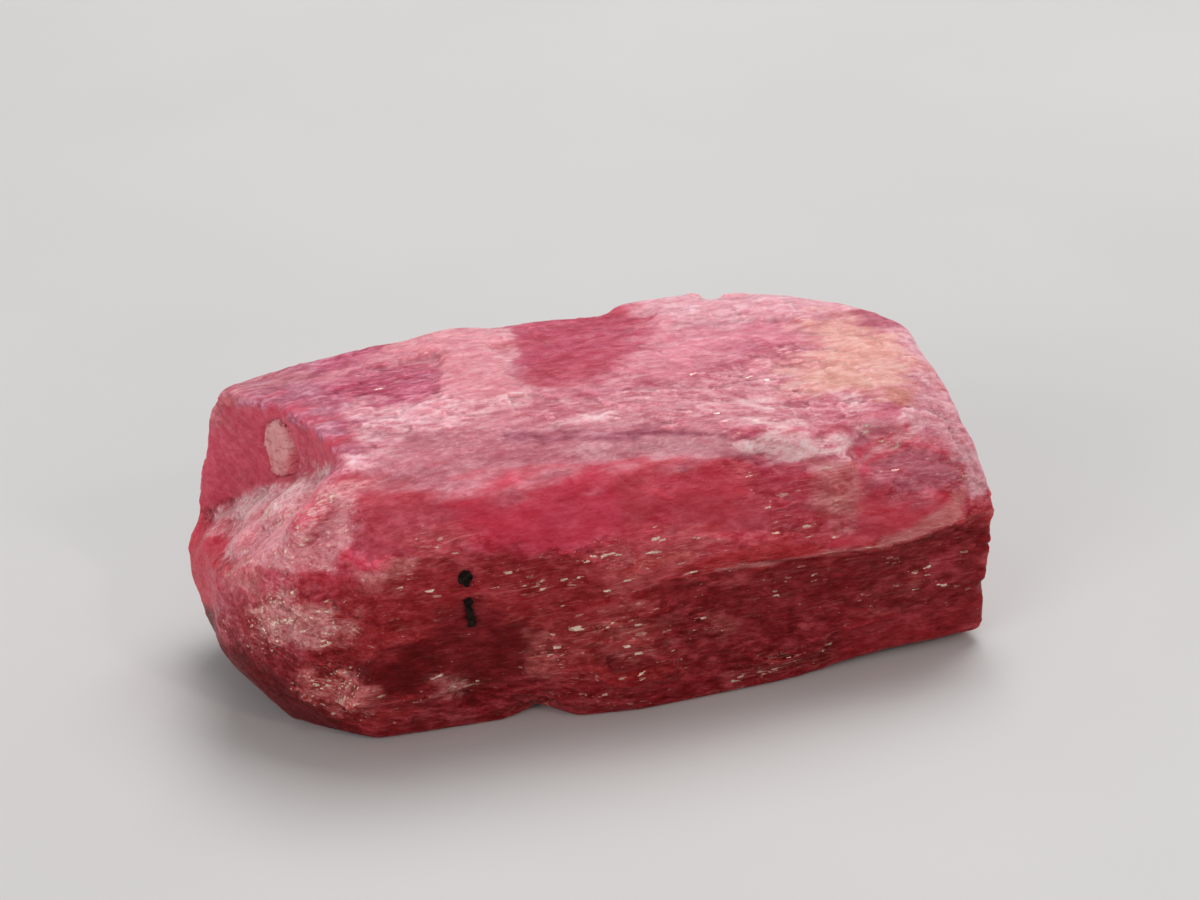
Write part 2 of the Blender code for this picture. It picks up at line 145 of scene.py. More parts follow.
def noise(points, size, seed, octaves=1):
    """Smooth random field from 0 to 1 whose lumps measure size on each axis."""
    total, weight, amount = 0.0, 0.0, 1.0
    for octave in range(octaves):
        p = points / np.asarray(size, float) * 2.0 ** octave + 17.3 * octave
        base = np.floor(p)
        t = p - base
        t = t * t * (3.0 - 2.0 * t)
        value = 0.0
        for corner in np.ndindex(2, 2, 2):
            share = np.prod(np.where(corner, t, 1.0 - t), axis=-1)
            value = value + share * random_at(base + corner, seed + octave)
        total = total + amount * value
        weight += amount
        amount *= 0.5
    return total / weight


def cells(points, size, seed):
    """Blocky cleavage cells: each point's four cell numbers and its place in the cell."""
    p = points / np.asarray(size, float)
    base = np.floor(p)
    nearest = np.full(len(p), np.inf)
    offset = np.zeros_like(p)
    owner = np.zeros_like(p)
    for around in np.ndindex(3, 3, 3):
        cell = base + around - 1
        centre = cell + 0.15 + 0.7 * np.stack([random_at(cell, seed + i) for i in range(3)], axis=-1)
        away = p - centre
        distance = np.abs(away).max(axis=-1)
        closer = distance < nearest
        nearest = np.where(closer, distance, nearest)
        offset[closer] = away[closer]
        owner[closer] = cell[closer]
    numbers = np.stack([random_at(owner, seed + 10 + i) for i in range(4)], axis=-1)
    return numbers, offset


def block_rise(numbers, offset, rise, slant):
    """How far each point's block stands out or in: a level of its own and a slant across it."""
    tilt = (offset * (numbers[:, 1:4] - 0.5)).sum(axis=1)
    return rise * (2.0 * numbers[:, 0] - 1.0) + slant * tilt


def remeshed(node, name, size):
    """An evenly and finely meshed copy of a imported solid's surface."""
    mesh = bpy.data.meshes.new(name)
    bm = bmesh.new()
    bm.from_mesh(node.data)
    bmesh.ops.remove_doubles(bm, verts=bm.verts, dist=1e-7)
    bm.to_mesh(mesh)
    bm.free()
    piece = bpy.data.objects.new(name, mesh)
    bpy.context.scene.collection.objects.link(piece)
    even = piece.modifiers.new("even", "REMESH")
    even.mode = "VOXEL"
    even.voxel_size = size * MM
    evaluated = piece.evaluated_get(bpy.context.evaluated_depsgraph_get())
    fine = bpy.data.meshes.new_from_object(evaluated)
    piece.modifiers.clear()
    piece.data = fine
    return piece


def shade_and_dress(piece, material):
    """Smooth shading with crisp folds, and the piece's own material."""
    mesh = piece.data
    mesh.polygons.foreach_set("use_smooth", [True] * len(mesh.polygons))
    mesh.set_sharp_from_angle(angle=math.radians(CREASE_ANGLE))
    mesh.materials.clear()
    mesh.materials.append(material)


class Surface:
    """A mesh's points and edges as arrays, in millimetres."""

    def __init__(self, mesh):
        self.mesh = mesh
        self.count = len(mesh.vertices)
        points = np.empty(self.count * 3)
        mesh.vertices.foreach_get("co", points)
        self.points = points.reshape(-1, 3) / MM
        ends = np.empty(len(mesh.edges) * 2, dtype=np.int32)
        mesh.edges.foreach_get("vertices", ends)
        self.ends = ends.reshape(-1, 2)
        self.links = np.bincount(ends, minlength=self.count)

    def neighbours(self, values):
        """Each point's mean over the points it shares an edge with."""
        values = values.reshape(self.count, -1)
        first, second = self.ends[:, 0], self.ends[:, 1]
        columns = []
        for column in values.T:
            total = np.bincount(first, column[second], self.count)
            total += np.bincount(second, column[first], self.count)
            columns.append(total / self.links)
        return np.stack(columns, axis=-1)

    def blur(self, values, rounds):
        """Values spread over the surface by repeated averaging."""
        shape = values.shape
        values = values.reshape(self.count, -1)
        for _ in range(rounds):
            values = 0.5 * values + 0.5 * self.neighbours(values)
        return values.reshape(shape)

    def write(self):
        """Puts the moved points back in the mesh."""
        self.mesh.vertices.foreach_set("co", (self.points * MM).ravel())
        self.mesh.update()

    def normals(self):
        """The mesh's point normals."""
        normals = np.empty(self.count * 3)
        self.mesh.vertices.foreach_get("normal", normals)
        return normals.reshape(-1, 3)


# Rounds of averaging for the broad and the near look of the surface's direction, and of smoothing
BROAD_BLUR = 12
NEAR_BLUR = 2
SMOOTH_ROUNDS = 7
SLEEK_ROUNDS = 14
SMOOTH_PULL = 0.6

# Layers of cleavage blocks: size of a block, its rise or fall, its slant and its seed
RELIEF_LAYERS = (
    ((3.4, 1.3, 1.1), 0.07, 0.16, 31),
    ((1.6, 0.62, 0.55), 0.05, 0.11, 53),
    ((0.8, 0.42, 0.38), 0.02, 0.06, 79),
)
CLEAVAGE_LEAN = ((1.0, 0.0, 0.0), (0.25, 1.0, 0.12), (0.35, -0.1, 1.0))

# A patch seen on the stone: its colour and the colour's strength, how frosted it is, how rough its relief is,
# how many painted glints it has, the width of its ragged edge, the face it lies on and its outline. The
# outline is in (X, Y) on the top, (X, Z) on the front and (Y, Z) on the left end.
Patch = namedtuple("Patch", "colour strength frost relief flecks edge face outline")
FACE_AXES = {"top": (0, 1), "front": (0, 2), "left": (1, 2)}
PATCH_SEED = 100
PATCHES = {
    "left_top": Patch("mauve_rose", 0.95, 0.35, 0.5, 0.3, 0.3, "top", (
        (-11.5, 3.7), (-9.6, 5.2), (-7.0, 5.2), (-7.8, 2.8), (-7.9, 1.9), (-7.5, 1.0), (-7.9, -0.6),
        (-8.3, -1.2), (-9.3, 0.2), (-9.4, 2.0),
    )),
    "left_dark_patch": Patch("top_crimson", 0.8, 0.15, 0.5, 0.3, 0.4, "top", (
        (-7.8, 2.8), (-6.5, 3.8), (-4.3, 3.5), (-4.3, 1.7), (-4.4, 0.6), (-6.2, 0.5), (-7.4, 1.0),
        (-7.9, 1.9),
    )),
    "left_plate": Patch("plate_pink", 1.0, 0.3, 0.25, 0.2, 0.15, "top", (
        (-5.2, 5.3), (-2.8, 5.9), (-1.4, 5.6), (-0.9, 4.5), (-1.2, 2.7), (-2.3, 0.7), (-1.9, -0.2),
        (-2.3, -0.7), (-3.1, -1.0), (-4.6, 0.1), (-4.0, 1.4), (-3.7, 3.5), (-5.1, 3.9),
    )),
    "ridge_left": Patch("ridge_pink", 0.85, 0.4, 0.6, 0.3, 0.5, "top", (
        (-7.5, 1.0), (-6.2, 0.5), (-4.6, 0.1), (-3.1, -1.0), (-3.9, -1.6), (-4.8, -1.6), (-7.1, -1.6),
        (-8.2, -1.6),
    )),
    "middle_crimson": Patch("deep_rose", 0.9, 0.1, 0.25, 0.1, 0.5, "top", (
        (-1.1, 3.7), (-0.1, 4.9), (2.4, 5.2), (3.2, 5.0), (3.8, 4.3), (3.8, 2.9), (2.6, 1.2),
        (1.2, -0.2), (-0.6, -0.6), (-1.7, -0.4), (-1.9, 0.4), (-1.0, 2.7),
    )),
    "middle_rose": Patch("rose", 0.8, 0.2, 0.3, 0.2, 0.9, "top", (
        (3.8, 2.9), (5.9, 2.0), (7.3, 2.3), (8.3, 1.0), (8.0, 0.1), (6.4, 0.1), (3.9, -0.3),
        (1.7, -0.6), (2.6, 1.2),
    )),
    "back_strip": Patch("pale_rose", 0.9, 0.35, 0.3, 0.1, 0.4, "top", (
        (3.4, 5.6), (6.0, 5.4), (8.0, 4.9), (9.6, 3.8), (10.2, 2.1), (8.5, 1.2), (7.3, 2.3), (5.9, 2.0),
        (4.8, 2.3), (3.8, 3.2),
    )),
    "front_top": Patch("top_pink", 0.95, 0.4, 0.5, 0.35, 0.5, "top", (
        (-1.2, -1.2), (1.7, -0.9), (3.9, -0.5), (6.4, -0.3), (6.1, -1.6), (8.3, -1.4), (8.3, -3.4),
        (7.4, -4.0), (2.5, -3.6), (-1.2, -3.2),
    )),
    "right_top": Patch("top_pink", 0.95, 0.4, 0.5, 0.3, 0.4, "top", (
        (5.2, -0.2), (7.2, 0.3), (8.6, -0.4), (8.9, -2.2), (8.6, -3.8), (6.0, -4.0), (4.6, -2.2),
    )),
    "cream": Patch("cream", 0.95, 0.3, 0.3, 0.1, 0.9, "top", (
        (8.5, 1.3), (10.2, 1.6), (11.2, -0.5), (11.7, -1.2), (11.0, -2.4), (9.8, -3.0), (9.0, -2.5),
        (8.0, -2.2), (6.4, -1.7), (7.4, -0.9), (8.0, 0.1),
    )),
    "brown_spot_left": Patch("tan", 0.5, 0.0, 0.3, 0.3, 0.25, "top", (
        (8.0, -1.5), (8.9, -1.7), (8.8, -2.5), (8.0, -2.4),
    )),
    "brown_spot_right": Patch("tan", 0.6, 0.0, 0.3, 0.3, 0.2, "top", (
        (9.5, -2.8), (10.5, -2.7), (10.2, -3.5), (9.4, -3.4),
    )),
    "outer_corner": Patch("pale_rose", 0.8, 0.4, 0.3, 0.0, 0.3, "top", (
        (11.2, 0.9), (12.0, 0.4), (12.4, -1.5), (11.5, -2.0), (11.2, -0.5), (10.9, 0.3),
    )),
    "mauve_corner": Patch("mauve", 1.0, 0.0, 0.2, 0.0, 0.25, "top", (
        (10.4, 1.8), (11.5, 1.7), (11.6, 0.8), (11.1, 0.3), (10.4, 0.6),
    )),
    # A painted sheen: a pale streak of reflected light near the top's front edge
    "sheen_streak": Patch("white_rose", 0.6, 0.7, 0.6, 0.1, 0.12, "top", (
        (-1.9, -2.3), (-0.6, -2.2), (0.2, -2.4), (0.0, -2.7), (-1.1, -2.9), (-2.4, -2.8),
    )),
    "streak_beside_plate": Patch("white_rose", 0.4, 0.5, 0.6, 0.1, 0.15, "top", (
        (-3.8, -0.8), (-2.9, -0.6), (-1.9, -0.6), (-2.3, -1.1), (-3.8, -1.2),
    )),
    "plate_rim": Patch("white_rose", 0.4, 0.4, 0.3, 0.1, 0.1, "top", (
        (-1.1, 5.0), (-0.8, 4.5), (-1.1, 2.7), (-2.1, 0.7), (-1.6, -0.2), (-2.2, -1.0), (-2.6, -0.8),
        (-2.0, -0.2), (-2.5, 0.7), (-1.5, 2.7),
    )),
    "white_spot_left": Patch("white_rose", 0.5, 0.6, 0.6, 0.1, 0.15, "top", (
        (7.9, -2.6), (8.4, -2.6), (8.2, -3.4), (7.7, -3.3),
    )),
    "white_spot_right": Patch("white_rose", 0.5, 0.6, 0.6, 0.1, 0.15, "top", (
        (9.3, -3.6), (9.9, -3.6), (10.2, -4.0), (9.7, -4.3), (9.3, -4.2),
    )),
    # The bevel band along the upper front edge: painted sky reflection on the rough slope, with frosting
    "bevel": Patch("bevel_sheen_rose", 1.0, 0.4, 0.15, 0.0, 0.3, "front", (
        (-8.2, 8.9), (-7.1, 9.3), (-4.8, 9.4), (-3.5, 9.2), (-0.7, 9.0), (0.8, 9.0), (2.5, 8.9),
        (3.2, 8.6), (3.5, 8.3), (3.3, 8.1), (1.2, 8.35), (-0.5, 8.4), (-2.4, 8.4), (-3.2, 8.4),
        (-5.8, 8.3), (-7.6, 8.4),
    )),
    # The greyer right part of the bevel band: stronger painted sky reflection
    "bevel_right": Patch("bevel_sheen_grey", 0.9, 0.4, 0.15, 0.0, 0.3, "front", (
        (-1.5, 9.0), (0.8, 9.0), (2.5, 8.9), (3.2, 8.6), (3.5, 8.3), (3.3, 8.1), (1.2, 8.35),
        (-1.5, 8.4),
    )),
    "ridge_line": Patch("ridge_shadow", 1.0, 0.1, 0.3, 0.0, 0.06, "front", (
        (-3.6, 9.2), (-0.7, 9.05), (0.8, 9.0), (3.2, 8.7), (3.2, 8.6), (0.8, 8.85), (-0.7, 8.9),
        (-3.6, 9.05),
    )),
    "corner_white": Patch("ridge_pink", 0.7, 0.5, 0.6, 0.2, 0.25, "front", (
        (-8.5, 9.3), (-7.2, 9.4), (-6.7, 9.3), (-7.8, 8.7), (-8.7, 8.5),
    )),
    "upper_left_pink": Patch("front_pink", 1.0, 0.05, 0.2, 0.0, 0.2, "front", (
        (-8.7, 8.7), (-7.3, 8.5), (-5.4, 8.3), (-5.0, 7.4), (-6.6, 7.1), (-8.6, 6.9), (-8.9, 7.9),
    )),
    "upper_crimson": Patch("crimson", 0.95, 0.05, 0.08, 0.0, 0.45, "front", (
        (-5.8, 8.3), (-3.2, 8.4), (-1.0, 8.35), (0.2, 8.3), (-0.6, 6.3), (-4.0, 6.4), (-5.6, 7.4),
    )),
    "upper_right_red": Patch("red", 0.95, 0.0, 0.08, 0.0, 0.2, "front", (
        (-0.6, 8.3), (1.2, 8.3), (3.4, 8.0), (4.2, 7.2), (4.4, 6.0), (2.8, 5.9), (-0.3, 6.0),
        (-0.9, 6.3),
    )),
    "pale_wedge": Patch("crimson", 0.5, 0.1, 0.2, 0.1, 0.2, "front", (
        (0.1, 8.2), (3.2, 7.9), (2.1, 7.7), (1.2, 7.2), (0.8, 6.4), (0.0, 6.4), (0.4, 7.4),
    )),
    "lamella": Patch("ember", 0.6, 0.1, 0.3, 0.6, 0.12, "front", (
        (-2.5, 5.35), (0.1, 5.72), (1.7, 5.9), (4.5, 5.85), (4.4, 5.65), (1.6, 5.65), (0.1, 5.45),
        (-2.5, 5.05),
    )),
    "lip_band": Patch("ember", 0.6, 0.0, 0.25, 0.4, 0.2, "front", (
        (-0.5, 5.2), (2.5, 5.6), (4.4, 5.6), (5.8, 5.1), (4.3, 4.6), (1.8, 4.7),
    )),
    "grey_veil": Patch("left_rose", 0.7, 0.25, 0.35, 0.5, 0.3, "front", (
        (5.6, 7.8), (7.3, 7.5), (7.2, 5.8), (6.3, 5.6), (5.4, 6.6),
    )),
    "bright_pocket": Patch("red", 0.95, 0.0, 0.08, 0.0, 0.15, "front", (
        (7.2, 6.3), (9.0, 6.1), (10.8, 5.8), (10.6, 5.3), (8.8, 5.0), (7.3, 4.9), (5.9, 5.1),
        (6.9, 5.5),
    )),
    "between": Patch("front_pink", 0.7, 0.2, 0.3, 0.5, 0.4, "front", (
        (3.4, 8.2), (5.6, 7.9), (5.6, 7.0), (4.4, 6.2), (3.4, 6.8), (2.8, 7.6),
    )),
    "brushed_left": Patch("brushed", 0.6, 0.15, 0.3, 1.0, 0.3, "front", (
        (-7.6, 7.5), (-5.8, 7.2), (-5.6, 6.6), (-7.0, 6.6),
    )),
    "brushed_middle": Patch("brushed", 0.5, 0.1, 0.3, 1.0, 0.4, "front", (
        (-3.4, 5.8), (0.5, 6.4), (2.0, 6.2), (1.0, 5.2), (-0.5, 4.6), (-3.4, 4.4),
    )),
    "brushed_low": Patch("brushed", 0.4, 0.1, 0.4, 1.0, 0.4, "front", (
        (-4.0, 4.2), (-1.2, 4.2), (0.6, 3.4), (0.4, 1.8), (-3.4, 1.8),
    )),
    "haze_right": Patch("dusty_wine", 0.9, 0.15, 0.3, 0.2, 0.4, "front", (
        (7.4, 3.9), (10.0, 4.0), (10.0, 2.4), (7.8, 2.0),
    )),
    "lilac_face": Patch("lilac", 0.85, 0.25, 0.3, 0.6, 0.3, "front", (
        (7.4, 7.1), (8.8, 7.2), (10.8, 6.9), (11.0, 6.3), (10.8, 5.8), (9.0, 6.1), (7.3, 6.4),
    )),
    "lens_dark": Patch("deep_rose", 0.8, 0.0, 0.3, 0.1, 0.15, "front", (
        (6.0, 8.2), (7.3, 8.25), (7.5, 7.8), (6.8, 7.9), (6.0, 8.1),
    )),
    "lens_red": Patch("crimson", 0.85, 0.0, 0.15, 0.2, 0.15, "front", (
        (7.3, 7.6), (8.6, 7.6), (9.4, 7.9), (9.6, 7.6), (8.8, 7.1), (7.4, 6.9),
    )),
    "lens_streak": Patch("white_rose", 0.3, 0.3, 0.3, 1.0, 0.1, "front", (
        (7.4, 8.1), (8.5, 8.1), (9.2, 8.0), (9.1, 7.8), (8.4, 7.8), (7.5, 7.9),
    )),
    "lens_rim": Patch("white_rose", 0.5, 0.4, 0.3, 1.0, 0.1, "front", (
        (7.7, 7.4), (8.8, 7.5), (9.3, 7.8), (9.9, 8.1), (10.2, 8.0), (9.7, 7.7), (8.8, 7.3), (7.7, 7.2),
    )),
    "white_ledge": Patch("white_rose", 1.0, 0.6, 0.4, 0.2, 0.2, "front", (
        (3.4, 8.5), (4.6, 8.7), (5.8, 8.45), (6.4, 8.1), (7.6, 8.1), (7.7, 7.8), (7.0, 7.5), (5.8, 7.6),
        (4.4, 7.95), (3.6, 8.15),
    )),
    "right_pink": Patch("mauve_pale", 0.95, 0.45, 0.4, 0.1, 0.3, "front", (
        (11.3, 8.8), (12.2, 7.6), (12.4, 6.6), (12.2, 5.4), (11.2, 5.6), (10.9, 6.5), (10.3, 7.5),
        (10.3, 8.4),
    )),
    "lip_pink": Patch("left_rose", 0.9, 0.2, 0.15, 0.2, 0.12, "front", (
        (7.6, 5.05), (8.8, 5.3), (10.4, 5.9), (11.0, 5.9), (10.6, 5.2), (8.8, 4.85), (7.6, 4.75),
    )),
    "lip_rim": Patch("left_rose", 0.8, 0.25, 0.2, 0.9, 0.06, "front", (
        (2.3, 4.85), (4.3, 4.75), (5.8, 4.95), (7.9, 4.8), (8.8, 5.0), (10.4, 5.4), (10.5, 5.2),
        (8.8, 4.8), (7.9, 4.65), (5.8, 4.75), (4.3, 4.55), (2.3, 4.7),
    )),
    "wine_middle": Patch("wine", 0.9, 0.1, 0.3, 0.5, 0.4, "front", (
        (-9.4, 5.9), (-7.7, 6.9), (-2.8, 6.2), (-1.6, 5.5), (-1.6, 3.6), (-4.8, 4.7), (-7.8, 4.3),
        (-9.4, 4.2),
    )),
    "dark_right": Patch("low_red", 0.9, 0.0, 0.3, 0.3, 0.3, "front", (
        (2.4, 4.4), (6.2, 4.5), (10.6, 4.7), (11.8, 4.2), (11.6, 2.0), (6.7, 2.3), (3.2, 2.1),
        (1.8, 3.1),
    )),
    "dark_window_left": Patch("dark_wine", 0.9, 0.0, 0.12, 0.0, 0.1, "front", (
        (-8.9, 3.3), (-8.1, 4.0), (-6.8, 3.8), (-6.7, 2.8), (-7.3, 2.2), (-9.1, 1.9), (-9.4, 2.4),
    )),
    "dark_window_middle": Patch("dark_wine", 0.6, 0.0, 0.15, 0.1, 0.3, "front", (
        (-6.8, 4.9), (-5.4, 5.0), (-4.0, 4.0), (-3.9, 2.2), (-5.3, 1.6), (-6.6, 2.6),
    )),
    "dark_window_right": Patch("dark_wine", 0.8, 0.0, 0.12, 0.0, 0.08, "front", (
        (-4.9, 4.0), (-3.9, 4.3), (-3.6, 3.4), (-3.7, 2.2), (-4.7, 2.0), (-4.95, 3.0),
    )),
    "ember_right": Patch("red", 0.5, 0.0, 0.3, 0.6, 0.3, "front", (
        (9.9, 3.5), (10.8, 3.6), (10.8, 2.9), (10.0, 2.8),
    )),
    "low_veil": Patch("wine", 0.6, 0.15, 0.4, 0.4, 0.4, "front", (
        (-2.8, 3.5), (-1.2, 3.2), (0.5, 2.3), (1.8, 1.6), (1.6, 0.6), (-1.4, 0.7), (-2.8, 1.3),
    )),
    "edge_veil": Patch("dusty_wine", 0.7, 0.15, 0.4, 0.8, 0.12, "front", (
        (-4.0, 3.9), (-3.2, 3.6), (-2.9, 2.5), (-3.1, 1.7), (-3.8, 2.1),
    )),
    "pale_triangle": Patch("dusty_wine", 0.7, 0.15, 0.3, 0.5, 0.2, "front", (
        (2.2, 3.1), (3.0, 3.1), (2.8, 2.2), (3.2, 1.5), (2.6, 1.8),
    )),
    "glint_patch": Patch("brushed", 0.6, 0.25, 0.4, 0.8, 0.2, "front", (
        (-1.4, 3.0), (-0.7, 3.1), (0.0, 2.8), (-0.2, 2.3), (-1.0, 2.3),
    )),
    "mid_veil": Patch("left_rose", 0.8, 0.4, 0.5, 1.0, 0.25, "front", (
        (-8.9, 6.4), (-7.9, 6.8), (-7.4, 6.6), (-7.8, 6.0), (-8.8, 5.8),
    )),
    "glint_veil": Patch("left_rose", 0.5, 0.3, 0.6, 1.4, 0.2, "front", (
        (-6.9, 2.6), (-6.3, 2.7), (-5.7, 2.3), (-5.8, 1.5), (-6.8, 1.8),
    )),
    # Painted glow: light shining through the thin bottom edge at the right
    "right_foot_glow": Patch("foot_glow_red", 0.8, 0.0, 0.25, 0.1, 0.25, "front", (
        (6.7, 2.1), (11.9, 1.8), (12.2, 0.0), (9.0, 0.0), (6.9, 0.4),
    )),
    # Painted glow of light through the thin bottom edge at the left
    "foot_glow": Patch("ember", 0.5, 0.0, 0.3, 0.2, 0.3, "front", (
        (-8.9, 1.7), (-7.7, 1.8), (-7.2, 1.0), (-8.6, 0.9),
    )),
    "end_face": Patch("end_rose", 1.0, 0.05, 0.1, 0.0, 0.1, "left", (
        (4.6, 9.2), (0.5, 9.4), (-1.6, 9.2), (-0.9, 8.2), (-0.2, 7.4), (2.6, 5.9), (3.9, 5.1),
        (4.8, 4.5), (5.0, 7.2),
    )),
    "left_brow": Patch("mauve_rose", 0.9, 0.35, 0.4, 0.3, 0.15, "left", (
        (5.2, 9.6), (-2.0, 9.8), (-2.0, 9.15), (2.0, 9.05), (5.0, 8.7),
    )),
    "end_rim": Patch("end_gold", 0.5, 0.3, 0.3, 0.1, 0.2, "left", (
        (3.3, 9.3), (5.0, 9.0), (5.0, 7.6), (4.3, 7.6), (3.8, 8.5),
    )),
    "ledge": Patch("ledge_rose", 0.95, 0.55, 0.3, 1.4, 0.1, "left", (
        (4.1, 4.8), (2.6, 6.1), (0.2, 7.5), (-0.7, 8.3), (-2.9, 8.6), (-3.9, 7.3), (-3.9, 6.3),
        (-2.4, 6.0), (2.3, 4.4),
    )),
    "ledge_edge": Patch("white_rose", 0.7, 0.6, 0.3, 1.6, 0.3, "left", (
        (4.2, 4.4), (2.6, 5.9), (0.9, 6.9), (-0.4, 8.0), (-1.2, 8.2), (-1.3, 7.7), (-0.4, 7.0),
        (1.4, 6.0), (3.2, 4.6),
    )),
    "ledge_inner": Patch("end_rose", 0.6, 0.3, 0.4, 0.2, 0.2, "left", (
        (-2.3, 8.3), (-3.3, 8.0), (-3.2, 7.3), (-2.0, 7.3),
    )),
    "nose": Patch("nose_rose", 0.95, 0.0, 0.1, 0.0, 0.3, "left", (
        (5.0, 4.3), (2.7, 4.9), (0.8, 4.8), (-0.3, 4.0), (1.5, 1.8), (4.5, 1.5),
    )),
    "left_foot": Patch("dark_wine", 0.95, 0.0, 0.15, 0.0, 0.3, "left", (
        (4.8, 1.5), (1.0, 2.2), (-1.7, 2.9), (-3.3, 1.6), (-3.6, 0.0), (4.8, 0.0),
    )),
    "left_window": Patch("wine", 0.8, 0.0, 0.1, 0.0, 0.15, "left", (
        (-1.3, 4.3), (-2.1, 4.6), (-2.1, 3.6), (-1.5, 3.5),
    )),
    "left_middle": Patch("left_rose", 0.7, 0.15, 0.4, 0.5, 0.3, "left", (
        (-0.8, 5.8), (-2.4, 5.6), (-2.4, 5.0), (-1.2, 4.8), (-0.6, 5.2),
    )),
    "left_shade": Patch("wine", 0.8, 0.05, 0.3, 0.3, 0.3, "left", (
        (-3.9, 6.0), (-5.0, 6.2), (-5.0, 3.6), (-4.3, 3.6), (-4.2, 5.2),
    )),
    "left_veil_high": Patch("left_rose", 0.85, 0.5, 0.6, 1.6, 0.2, "left", (
        (-2.1, 4.9), (-3.2, 5.4), (-4.2, 5.2), (-4.2, 4.0), (-3.1, 3.7), (-2.2, 3.7),
    )),
    "left_veil_low": Patch("brushed", 0.75, 0.45, 0.6, 1.6, 0.2, "left", (
        (-3.4, 2.8), (-4.0, 3.0), (-4.6, 2.7), (-4.8, 2.0), (-3.6, 1.2), (-3.2, 1.6),
    )),
}


# Spots of painted glints, where many cleavage edges catch the light:
# face, middle on the face, reach and strength
GLINT_SPOTS = (
    ("left", 0.1, 6.8, 0.5, 0.4, 5.0),
    ("left", -3.2, 7.6, 0.5, 0.4, 2.5),
    ("left", -2.6, 5.0, 0.7, 0.5, 3.0),
    ("front", -6.6, 7.2, 0.9, 0.3, 1.6),
    ("front", -5.2, 5.9, 1.2, 0.4, 0.8),
    ("front", -3.4, 5.3, 1.3, 0.5, 1.2),
    ("front", 0.4, 5.6, 2.0, 0.3, 1.3),
    ("front", -3.2, 2.8, 0.7, 0.8, 1.3),
    ("front", -0.3, 2.5, 0.6, 0.3, 2.2),
    ("front", -5.9, 1.9, 1.0, 0.35, 2.0),
    ("front", 3.1, 0.6, 0.4, 0.15, 2.5),
    ("front", 9.2, 4.5, 2.2, 0.3, 1.0),
    ("front", 8.6, 7.5, 0.5, 0.5, 1.5),
    ("left", -2.9, 4.5, 0.8, 0.5, 4.0),
    ("left", -4.0, 2.2, 0.6, 0.7, 4.0),
    ("left", 0.2, 7.2, 1.2, 0.7, 2.0),
)


# Edge widths up to this are ragged only a little, and the lumps of the ragged edges
CRISP_EDGE = 0.12
RAGGED_SIZE = (1.3, 0.32, 0.32)


def outline_reach(flat, outline):
    """How far each flat point lies inside an outline, below 0 outside it."""
    corners = np.asarray(outline, float)
    nearest = np.full(len(flat), 1e9)
    inside = np.zeros(len(flat), bool)
    for a, b in zip(corners, np.roll(corners, -1, axis=0)):
        along = np.clip(((flat - a) @ (b - a)) / ((b - a) @ (b - a)), 0.0, 1.0)
        nearest = np.minimum(nearest, np.linalg.norm(flat - a - along[:, None] * (b - a), axis=1))
        crosses = (a[1] > flat[:, 1]) != (b[1] > flat[:, 1])
        rise = b[1] - a[1] if b[1] != a[1] else 1e-9
        inside ^= crosses & (flat[:, 0] < a[0] + (b[0] - a[0]) * (flat[:, 1] - a[1]) / rise)
    return np.where(inside, nearest, -nearest)


def patch_mask(points, normals, patch, seed):
    """1 inside a patch on the face it lies on, 0 elsewhere, with a ragged edge.

    It fades out down from the upper edges on the top, and back from the faces of the front and the left end.
    """
    edge = patch.edge
    ragged = 0.3 + 1.2 * edge if edge > CRISP_EDGE else 1.5 * edge
    reach = outline_reach(points[:, FACE_AXES[patch.face]], patch.outline)
    near = np.abs(reach) < ragged + edge
    reach[near] += ragged * (2.0 * noise(points[near], RAGGED_SIZE, seed, 3) - 1.0)
    mask = step(reach, -edge, edge)
    if patch.face == "top":
        return mask * step(normals[:, 2], 0.2, 0.5) * step(points[:, 2], 6.2, 7.4)
    if patch.face == "front":
        return mask * step(points[:, 1], -1.0, -2.0)
    return mask * step(points[:, 0], -7.6, -8.2)


# Colours of the upright faces from the foot to the upper edge. The brighter red at the very foot is a painted
# glow of light through the thin bottom edge, and the bevel colour at the top a painted sheen.
SIDE_COLOURS = (
    (0.0, "foot_glow_red"), (0.7, "low_red"), (2.8, "low_red"), (4.6, "wine"), (6.2, "red"), (7.4, "crimson"),
    (8.6, "bevel_sheen_rose"),
)


def base_paint(points, normals):
    """Tint, frost, relief and painted glints that follow from which way the skin looks and how high it is."""
    wander = noise(points, (3.0, 1.2, 1.2), 5, 3) - 0.5
    up = step(normals[:, 2] + 0.5 * wander, 0.3, 0.75) * step(points[:, 2], 6.6, 7.8)
    end = step(np.abs(normals[:, 0]) + 0.4 * wander, 0.65, 0.9)
    height = points[:, 2] + 2.2 * wander
    heights, names = zip(*SIDE_COLOURS)
    colours = np.array([albedo(name) for name in names])
    side = np.stack([np.interp(height, heights, channel) for channel in colours.T], axis=-1)
    patch = step(noise(points, (3.5, 1.6, 1.6), 9, 3), 0.35, 0.65)[:, None]
    top = blended(albedo("top_crimson"), albedo("top_pink"), patch)
    ends = blended(albedo("end_brown"), albedo("end_rose"), step(points[:, 2], 1.0, 7.0)[:, None])
    tint = blended(blended(side, ends, end[:, None]), top, up[:, None])
    frost = 0.04 + 0.3 * up + 0.2 * (1.0 - up) * step(points[:, 2], 6.5, 8.5)
    rough = 0.5 - 0.15 * up
    # Base amount of painted glints, fewer on the top and higher up the sides
    glint_noise = noise(points, (2.2, 1.0, 1.0), 21, 2)
    spark = step(glint_noise, 0.45, 0.75) * (1.0 - 0.7 * up) * step(points[:, 2], 8.6, 6.5)
    return tint, frost, rough, spark


